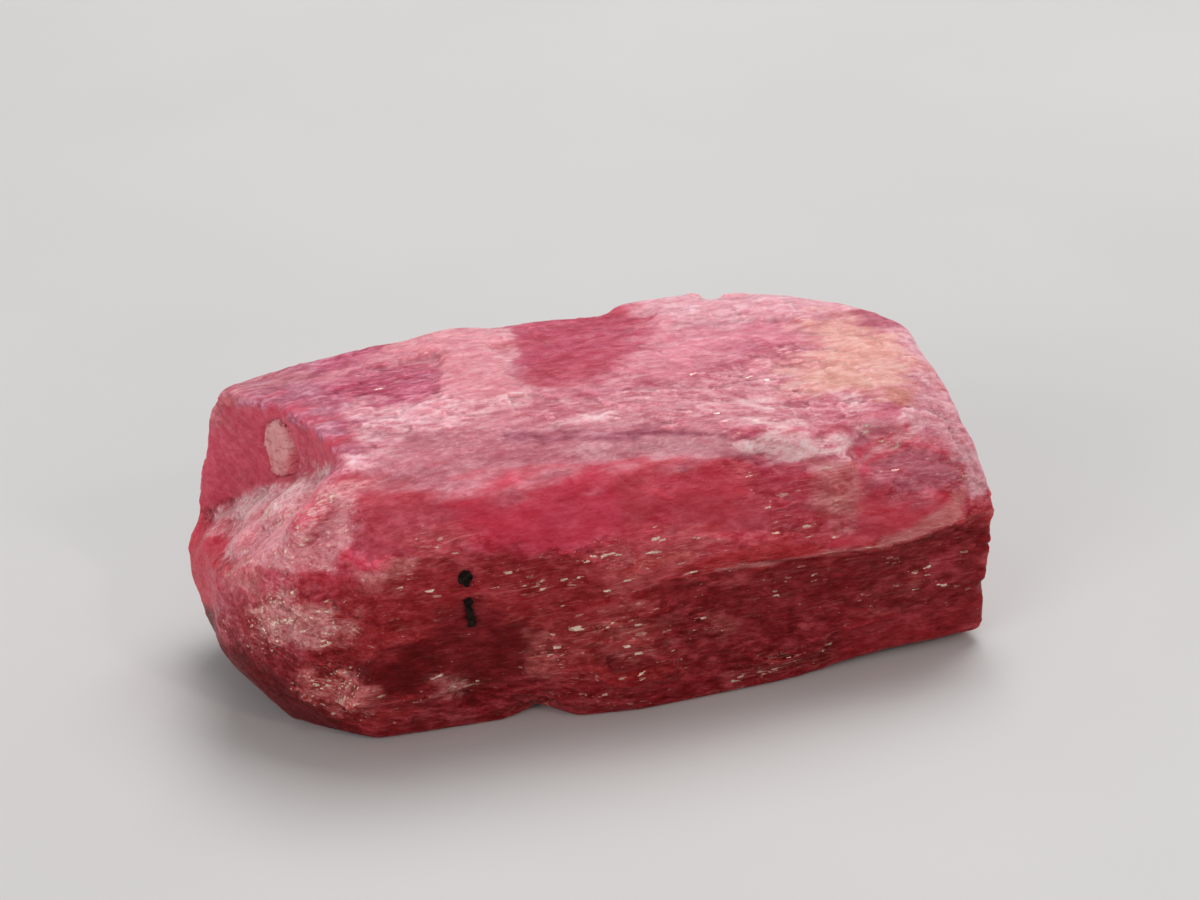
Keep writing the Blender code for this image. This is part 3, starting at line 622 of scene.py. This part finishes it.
def paint(points, broad):
    """The skin's tint, frost, relief and painted glints: the base, each patch over it, then the spots of
    glints.
    """
    tint, frost, rough, spark = base_paint(points, broad)
    for seed, patch in enumerate(PATCHES.values(), PATCH_SEED):
        mask = patch_mask(points, broad, patch, seed)
        tint = blended(tint, albedo(patch.colour), (mask * patch.strength)[:, None])
        frost = blended(frost, patch.frost, mask)
        rough = blended(rough, patch.relief, mask)
        spark = blended(spark, patch.flecks, mask)
    for face, across, up, wide, tall, strength in GLINT_SPOTS:
        away = (points[:, FACE_AXES[face]] - (across, up)) / (wide, tall)
        facing = -broad[:, 1] if face == "front" else -broad[:, 0]
        glow = strength * np.exp(-(away ** 2).sum(axis=1)) * step(facing, 0.3, 0.6)
        spark = np.maximum(spark, glow)
    return tint, frost, rough, spark


def smooth(surface, broad, rough):
    """Evens out the mesh's fine stairs, least at the left end's sharp folds and most where relief is low."""
    near = surface.blur(surface.normals(), NEAR_BLUR)
    turn = np.linalg.norm(near - broad * (near * broad).sum(axis=1)[:, None], axis=1)
    free = 1.0 - 0.85 * step(turn, 0.12, 0.3) * step(surface.points[:, 0], -7.0, -8.0)
    sleek = step(rough, 0.45, 0.15)
    for rounds, share in ((SMOOTH_ROUNDS, free), (SLEEK_ROUNDS, free * sleek)):
        for _ in range(rounds):
            pull = surface.neighbours(surface.points) - surface.points
            surface.points += pull * (SMOOTH_PULL * share)[:, None]


def add_relief(surface, points, broad, rough):
    """Moves the skin out and in by cleavage blocks, and returns how light or dark each point's blocks are."""
    leaned = points @ np.array(CLEAVAGE_LEAN).T
    relief = np.zeros(surface.count)
    shade = np.zeros(surface.count)
    for size, rise, slant, seed in RELIEF_LAYERS:
        numbers, offset = cells(leaned, size, seed)
        relief += block_rise(numbers, offset, rise, slant)
        shade += (2.0 * numbers[:, 3] - 1.0) / len(RELIEF_LAYERS)
    standing = step(points[:, 2], 0.0, 0.35)
    surface.points += broad * (relief * rough * standing)[:, None]
    surface.points[:, 2] = np.maximum(surface.points[:, 2], 0.0)
    surface.write()
    return shade


def shape_and_paint(skin):
    """Gives the skin its relief, and keeps its colours as point attributes for the material."""
    surface = Surface(skin.data)
    broad = surface.blur(surface.normals(), BROAD_BLUR)
    broad /= np.linalg.norm(broad, axis=1)[:, None]
    points = surface.points.copy()
    tint, frost, rough, spark = paint(points, broad)
    smooth(surface, broad, rough)
    shade = add_relief(surface, points, broad, rough)

    # Proud edges get more frosting, as worn edges do, and a lighter tint, which is painted light;
    # folds get a darker tint, which is painted shade
    bulge = ((surface.points - surface.neighbours(surface.points)) * broad).sum(axis=1) / SKIN_STEP
    bulge = surface.blur(bulge, 1)
    catches = np.clip(0.15 + 2.0 * frost, 0.0, 1.0)
    frost = np.clip(frost + 1.8 * catches * np.clip(bulge, 0.0, 0.3), 0.0, 1.0)
    blocks = 0.28 * shade * np.clip(rough, 0.2, 1.0)
    # blocks is a random tone per cleavage block; the bulge term is painted light on edges and painted shade
    # in folds
    tint = tint * (1.0 + blocks + np.clip(bulge * 1.5, -0.35, 0.35))[:, None]
    turned = step(np.abs(broad[:, 0]), 0.5, 0.75)
    attributes = skin.data.attributes
    rgba_rows = np.column_stack([np.clip(tint, 0.0, 1.0), np.ones(surface.count)])
    attributes.new("tint", "FLOAT_COLOR", "POINT").data.foreach_set("color", rgba_rows.ravel())
    for name, values in (("frost", frost), ("spark", spark), ("grit", rough), ("turned", turned)):
        attributes.new(name, "FLOAT", "POINT").data.foreach_set("value", values)


class Graph:
    """A material's node tree, with short ways to add nodes."""

    def __init__(self, name):
        self.material = bpy.data.materials.new(name)
        self.material.use_nodes = True
        self.tree = self.material.node_tree
        self.tree.nodes.clear()

    def add(self, kind, inputs, **settings):
        node = self.tree.nodes.new(kind)
        for key, value in settings.items():
            setattr(node, key, value)
        for key, value in inputs.items():
            if isinstance(value, bpy.types.NodeSocket):
                self.tree.links.new(value, node.inputs[key])
            else:
                node.inputs[key].default_value = value
        return node

    def math(self, operation, first, second, clamp=False):
        inputs = {0: first, 1: second}
        return self.add("ShaderNodeMath", inputs, operation=operation, use_clamp=clamp).outputs[0]

    def total(self, parts, start=0.0):
        """The start plus each part times its share."""
        for part, share in parts:
            start = self.math("ADD", self.math("MULTIPLY", part, share), start)
        return start

    def vector(self, operation, first, second):
        node = self.add("ShaderNodeVectorMath", {0: first, 1: second}, operation=operation)
        return node.outputs["Value" if operation == "DOT_PRODUCT" else "Vector"]

    def attribute(self, name):
        node = self.add("ShaderNodeAttribute", {}, attribute_name=name)
        return node.outputs["Color" if name == "tint" else "Fac"]

    def millimetres(self):
        place = self.add("ShaderNodeTexCoord", {}).outputs["Object"]
        return self.vector("MULTIPLY", place, (1000.0, 1000.0, 1000.0))

    def noise(self, where, per_mm, detail, roughness=0.55):
        """Noise with so many lumps to the millimetre on each axis."""
        place = self.vector("MULTIPLY", where, per_mm)
        inputs = {"Vector": place, "Scale": 1.0, "Detail": detail, "Roughness": roughness}
        return self.add("ShaderNodeTexNoise", inputs).outputs["Fac"]

    def rise(self, value, low, high, floor=0.0, ceiling=1.0):
        """Carries the range from low to high over to floor and ceiling."""
        inputs = {"Value": value, "From Min": low, "From Max": high, "To Min": floor, "To Max": ceiling}
        return self.add("ShaderNodeMapRange", inputs, clamp=True).outputs["Result"]

    def mix(self, factor, first, second, blend="MIX"):
        """Mixes two colours."""
        inputs = {0: factor, 6: first, 7: second}
        return self.add("ShaderNodeMix", inputs, data_type="RGBA", blend_type=blend).outputs[2]

    def blend(self, factor, first, second):
        """Mixes two values."""
        return self.add("ShaderNodeMix", {0: factor, 2: first, 3: second}, data_type="FLOAT").outputs[0]

    def facets(self, where, per_mm):
        """Flat, slanted scales: the height within each Voronoi cell, and two random numbers for the cell."""
        place = self.vector("MULTIPLY", where, per_mm)
        inputs = {"Vector": place, "Scale": 1.0}
        found = self.add("ShaderNodeTexVoronoi", inputs, distance="CHEBYCHEV").outputs
        away = self.vector("SUBTRACT", place, found["Position"])
        slant = self.vector("SUBTRACT", found["Color"], (0.5, 0.5, 0.5))
        numbers = self.add("ShaderNodeSeparateColor", {"Color": found["Color"]}).outputs
        return self.vector("DOT_PRODUCT", away, slant), numbers["Red"], numbers["Green"]

    def leaned(self, where, wander):
        """Place along the three cleavage directions, bent a little by noise."""
        bend = self.add("ShaderNodeTexNoise", {"Vector": where, "Scale": 0.7, "Detail": 1.0}).outputs["Color"]
        bend = self.vector("SUBTRACT", bend, (0.5, 0.5, 0.5))
        bent = self.vector("ADD", where, self.vector("MULTIPLY", bend, (wander, wander, wander)))
        along = [self.vector("DOT_PRODUCT", bent, direction) for direction in CLEAVAGE_LEAN]
        return self.add("ShaderNodeCombineXYZ", dict(enumerate(along))).outputs[0]

    def bump(self, height, distance, below=None):
        """Bump whose height of 1 is the distance in millimetres."""
        inputs = {"Height": height, "Distance": distance * MM, "Strength": 1.0}
        if below is not None:
            inputs["Normal"] = below
        return self.add("ShaderNodeBump", inputs).outputs["Normal"]

    def finish(self, **inputs):
        """Ends the tree in a Principled shader whose inputs are given with underscores for spaces."""
        shader = self.add("ShaderNodeBsdfPrincipled", {k.replace("_", " "): v for k, v in inputs.items()})
        self.add("ShaderNodeOutputMaterial", {"Surface": shader.outputs[0]})
        return self.material


def grey(value):
    return (value, value, value, 1.0)


def rgba(name):
    return (*albedo(name), 1.0)


# How much paler than the stone's own tint its frosting and its brushed lines are
FROST_LIFT = (1.15, 1.65, 1.55, 1.0)
BRUSHED_LIFT = (1.5, 2.4, 2.1, 1.0)


def stone_patterns(g, turned):
    """The stone's noise and cell patterns, most of them from 0 to 1, across the crystal where turned is 1."""
    where = g.millimetres()
    bent = g.leaned(where, 0.9)
    p = SimpleNamespace()
    along, across = g.noise(where, (1.7, 4.4, 4.4), 4.0, 0.7), g.noise(where, (4.4, 3.2, 4.4), 4.0, 0.7)
    p.threads = g.rise(g.blend(turned, along, across), 0.38, 0.62)
    along, across = g.noise(where, (1.6, 15.0, 15.0), 2.0), g.noise(where, (12.0, 5.0, 12.0), 2.0)
    p.lines = g.blend(turned, along, across)
    p.fibres = g.rise(g.noise(where, (3.5, 12.0, 12.0), 2.0, 0.7), 0.34, 0.66)
    p.sugar = g.rise(g.noise(where, (7.0, 10.0, 10.0), 3.0, 0.7), 0.34, 0.66)
    p.clouds = g.rise(g.noise(where, (0.5, 0.9, 0.9), 4.0), 0.34, 0.66)
    p.short_lines = g.noise(where, (3.0, 13.0, 13.0), 2.0)
    p.groups = g.rise(g.noise(where, (0.8, 2.4, 2.4), 2.0), 0.42, 0.6)
    _, p.block_tone, _ = g.facets(bent, (0.45, 1.0, 1.0))
    p.scale_height, p.scale_tone, _ = g.facets(bent, (1.7, 4.2, 4.2))
    p.chip_height, p.chip_tone, p.chip_shine = g.facets(where, (4.5, 15.0, 13.0))
    return p


def stone_body(g, p, tint, grit):
    """Threads and blocks of deeper and paler colour, in more contrast where grit is high."""
    depth = g.total(((p.threads, 0.44), (p.block_tone, 0.16), (p.scale_tone, 0.24), (p.clouds, 0.16)))
    contrast = g.rise(grit, 0.0, 0.6, 0.5, 1.6)
    depth = g.math("ADD", g.math("MULTIPLY", g.math("SUBTRACT", depth, 0.5), contrast), 0.5, clamp=True)
    deeper = g.rise(depth, 0.0, 1.0, 1.42, 0.68)
    body = g.add("ShaderNodeGamma", {"Color": tint, "Gamma": deeper}).outputs[0]
    return g.mix(1.0, body, g.rise(depth, 0.0, 1.0, 0.85, 1.1), "MULTIPLY")


def stone_whiteness(g, p, frost):
    """How much of the whitish frosting there is."""
    parts = ((p.sugar, 0.32), (p.fibres, 0.26), (p.threads, 0.1), (p.scale_tone, 0.12), (p.chip_tone, 0.2))
    return g.rise(g.total(parts, g.math("MULTIPLY", frost, 1.1)), 0.98, 1.45, 0.0, 0.9)


def stone_brushing(g, p, spark):
    """How much of the fine, brushed lines there is."""
    brushed = g.math("MULTIPLY", g.rise(p.lines, 0.5, 0.66), g.rise(p.groups, 0.0, 1.0, 0.25, 1.0))
    return g.math("MULTIPLY", brushed, g.rise(spark, 0.0, 1.0, 0.08, 0.65))


def stone_glints(g, p, spark):
    """1 on the painted glints: chips and short lines that gleam, more of them where spark is high."""
    near = g.math("MULTIPLY", spark, g.rise(p.groups, 0.0, 1.0, 0.3, 1.0))
    chip = g.rise(g.math("ADD", p.chip_tone, g.math("MULTIPLY", near, 0.08)), 1.0, 1.02)
    chip = g.math("MULTIPLY", chip, g.rise(p.chip_shine, 0.2, 0.6))
    gleam = g.rise(g.math("ADD", p.short_lines, g.math("MULTIPLY", near, 0.07)), 0.72, 0.78)
    glint = g.math("MULTIPLY", g.math("MAXIMUM", chip, gleam), g.rise(p.sugar, 0.0, 1.0, 0.5, 1.0))
    return g.math("MULTIPLY", glint, g.rise(spark, 0.0, 0.2))


def stone_material():
    """Cleaved stone, steered by the skin's attributes.

    They are tint, frost, spark for painted glints, grit for contrast, and turned on the two ends, where the
    threads run across the crystal.
    """
    g = Graph("cleaved_rhodochrosite")
    tint, frost, spark = g.attribute("tint"), g.attribute("frost"), g.attribute("spark")
    p = stone_patterns(g, g.attribute("turned"))
    whiteness = stone_whiteness(g, p, frost)
    glint = stone_glints(g, p, spark)

    pale = g.mix(0.25, g.mix(1.0, tint, FROST_LIFT, "MULTIPLY"), rgba("frost"))
    warm = g.mix(0.2, g.mix(1.0, tint, BRUSHED_LIFT, "MULTIPLY"), rgba("gold_frost"))
    colour = g.mix(whiteness, stone_body(g, p, tint, g.attribute("grit")), pale)
    colour = g.mix(stone_brushing(g, p, spark), colour, warm)
    # Painted glints: a pale gold base colour on the gleaming chips, which also reflect for real through their
    # metallic share
    colour = g.mix(glint, colour, rgba("fleck"))

    roughness = g.math("ADD", g.rise(whiteness, 0.0, 1.0, 0.3, 0.6), g.rise(p.sugar, 0.0, 1.0, -0.06, 0.1))
    roughness = g.math("ADD", roughness, g.math("MULTIPLY", glint, -0.1))
    chip_rise = g.math("MULTIPLY", p.chip_height, g.rise(spark, 0.0, 1.5, 0.025, 0.06))
    height = g.total(((p.fibres, 0.008), (p.scale_height, 0.035)), chip_rise)
    return g.finish(
        Base_Color=colour, Roughness=roughness, Normal=g.bump(height, 1.0),
        Metallic=g.math("MULTIPLY", glint, 0.7), IOR=1.5, Specular_IOR_Level=0.07,
        Subsurface_Weight=0.8, Subsurface_Radius=(1.0, 0.4, 0.45), Subsurface_Scale=0.6 * MM,
    )


GRAIN_STEP = 0.03      # mesh size of the grains
CRUMB_SIZE = (0.3, 0.3, 0.22)

# Grains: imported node, slot, swell of the whole grain, rise of its crumbs and seed
GRAINS = (
    ("pale_grain", "pale_calcite", 0.0, 0.045, 10),
    ("dark_grain_upper", "dark_oxide", -0.02, 0.12, 16),
    ("dark_grain_lower", "dark_oxide", -0.02, 0.12, 16),
)


def grain_material(name, light, dark, border):
    """A crumbly grain's material from colours of the palette. Its border looks like what it is bedded in."""
    g = Graph(name)
    where = g.millimetres()
    clouds = g.noise(where, (3.0, 3.0, 3.0), 4.0)
    crumbs = g.noise(where, (14.0, 14.0, 14.0), 3.0)
    height, number, _ = g.facets(where, (5.0, 5.0, 5.0))
    colour = g.mix(g.rise(clouds, 0.35, 0.65), rgba(dark), rgba(light))
    # Lighter towards the grain's top: painted light falling on the top of the raised grain
    level = g.add("ShaderNodeSeparateXYZ", {0: where}).outputs[2]
    colour = g.mix(g.rise(level, 7.4, 8.6, 0.0, 0.6), colour, rgba(light))
    colour = g.mix(g.rise(number, 0.0, 1.0, 0.0, 0.2), colour, rgba(light))
    fade = g.math("MULTIPLY", g.attribute("rim"), g.rise(crumbs, 0.35, 0.55, 0.6, 1.5), clamp=True)
    colour = g.mix(fade, colour, rgba(border))
    normal = g.bump(crumbs, 0.02)
    normal = g.bump(height, 0.02, normal)
    return g.finish(
        Base_Color=colour, Roughness=g.rise(crumbs, 0.3, 0.7, 0.4, 0.65), Normal=normal,
        Specular_IOR_Level=0.1,
    )


def grain(node_name, material, swell, rise, seed):
    """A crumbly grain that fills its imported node's place. Its rim attribute rises towards its border."""
    lump = remeshed(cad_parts[node_name], node_name + "_lump", GRAIN_STEP)
    surface = Surface(lump.data)
    normals = surface.normals()
    numbers, offset = cells(surface.points, CRUMB_SIZE, seed)
    height = swell + block_rise(numbers, offset, rise, rise)
    surface.points += normals * height[:, None]
    surface.write()
    half = np.ptp(surface.points, axis=0) / 2.0
    from_middle = (surface.points - surface.points.min(axis=0)) / half - 1.0
    widest = np.argsort(half)[1:]
    rim = step(np.linalg.norm(from_middle[:, widest], axis=1), 0.7, 1.05)
    lump.data.attributes.new("rim", "FLOAT", "POINT").data.foreach_set("value", rim)
    shade_and_dress(lump, material)
    return lump


def add_crystal():
    """The crystal's skin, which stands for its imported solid."""
    skin = remeshed(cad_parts["rhodochrosite_crystal"], "crystal_skin", SKIN_STEP)
    shape_and_paint(skin)
    shade_and_dress(skin, stone_material())
    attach(skin, "root")
    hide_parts("rhodochrosite_crystal")


def add_grains():
    """The set-in grains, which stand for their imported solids."""
    pale = grain_material("pale_calcite_grain", "calcite_light", "calcite_dark", "calcite_border")
    dark = grain_material("dark_oxide_grain", "oxide_light", "oxide_dark", "oxide_border")
    materials = {"pale_calcite": pale, "dark_oxide": dark}
    for node_name, slot, swell, rise, seed in GRAINS:
        lump = grain(node_name, materials[slot], swell, rise, seed)
        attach(lump, "root")
        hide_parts(node_name)


# Lamps: name, place, size and power in metres and watts, and colour
LAMPS = (
    ("overhead", (0.08, 0.10, 0.28), 0.20, 0.65, (1.0, 0.99, 0.98)),
    ("left_fill", (-0.24, -0.14, 0.12), 0.16, 0.22, (1.0, 0.98, 0.97)),
    ("small_warm_lamp", (0.09, -0.24, 0.20), 0.03, 0.08, (1.0, 0.86, 0.7)),
)
LAMP_TARGET = (0.0, 0.0, 0.005)
SURROUND_GREY = 0.9
SURROUND_STRENGTH = 0.36
FLOOR_SIZE = 3.0
FLOOR_GREYS = (0.62, 0.68)

# Camera: its angles are degrees above the table and to the left of the front, its place is in millimetres
CAMERA_ABOVE = 27.0
CAMERA_TURN = 21.6
CAMERA_PLACE = (-31.63, -81.39, 51.28)
CAMERA_LENS = 91.8
CAMERA_SENSOR = 36.0


def floor_material():
    g = Graph("pale_floor")
    clouds = g.noise(g.millimetres(), (0.02, 0.02, 0.02), 4.0)
    colour = g.mix(g.rise(clouds, 0.3, 0.7), grey(FLOOR_GREYS[0]), grey(FLOOR_GREYS[1]))
    return g.finish(Base_Color=colour, Roughness=0.6, Specular_IOR_Level=0.2)


def add_lamp(name, place, size, power, colour):
    """A square light that looks at the crystal."""
    light = bpy.data.lights.new(name, "AREA")
    light.size = size
    light.energy = power
    light.color = colour
    lamp = bpy.data.objects.new(name, light)
    lamp.location = place
    lamp.rotation_euler = (Vector(LAMP_TARGET) - Vector(place)).to_track_quat("-Z", "Y").to_euler()
    bpy.context.scene.collection.objects.link(lamp)


def add_studio():
    """The pale floor, the lamps and an even, dim light from all around."""
    bpy.ops.mesh.primitive_plane_add(size=FLOOR_SIZE, location=(0, 0, 0))
    floor = bpy.context.object
    floor.name = "floor"
    floor.data.materials.append(floor_material())
    for lamp in LAMPS:
        add_lamp(*lamp)
    world = bpy.data.worlds.new("soft_surround")
    world.use_nodes = True
    surround = world.node_tree.nodes["Background"].inputs
    surround["Color"].default_value = grey(SURROUND_GREY)
    surround["Strength"].default_value = SURROUND_STRENGTH
    bpy.context.scene.world = world
    bpy.context.scene.view_settings.view_transform = "Standard"
    bpy.context.scene.view_settings.look = "None"


def add_camera():
    """The camera at the photograph's angle."""
    camera = bpy.data.objects.new("camera", bpy.data.cameras.new("camera"))
    bpy.context.scene.collection.objects.link(camera)
    camera.location = Vector(CAMERA_PLACE) * MM
    camera.rotation_euler = (math.radians(90 - CAMERA_ABOVE), 0.0, math.radians(-CAMERA_TURN))
    camera.data.sensor_width = CAMERA_SENSOR
    camera.data.lens = CAMERA_LENS
    camera.data.clip_start = 1.0 * MM
    camera.data.clip_end = 10.0
    bpy.context.scene.camera = camera


add_camera()
add_crystal()
add_grains()
add_studio()
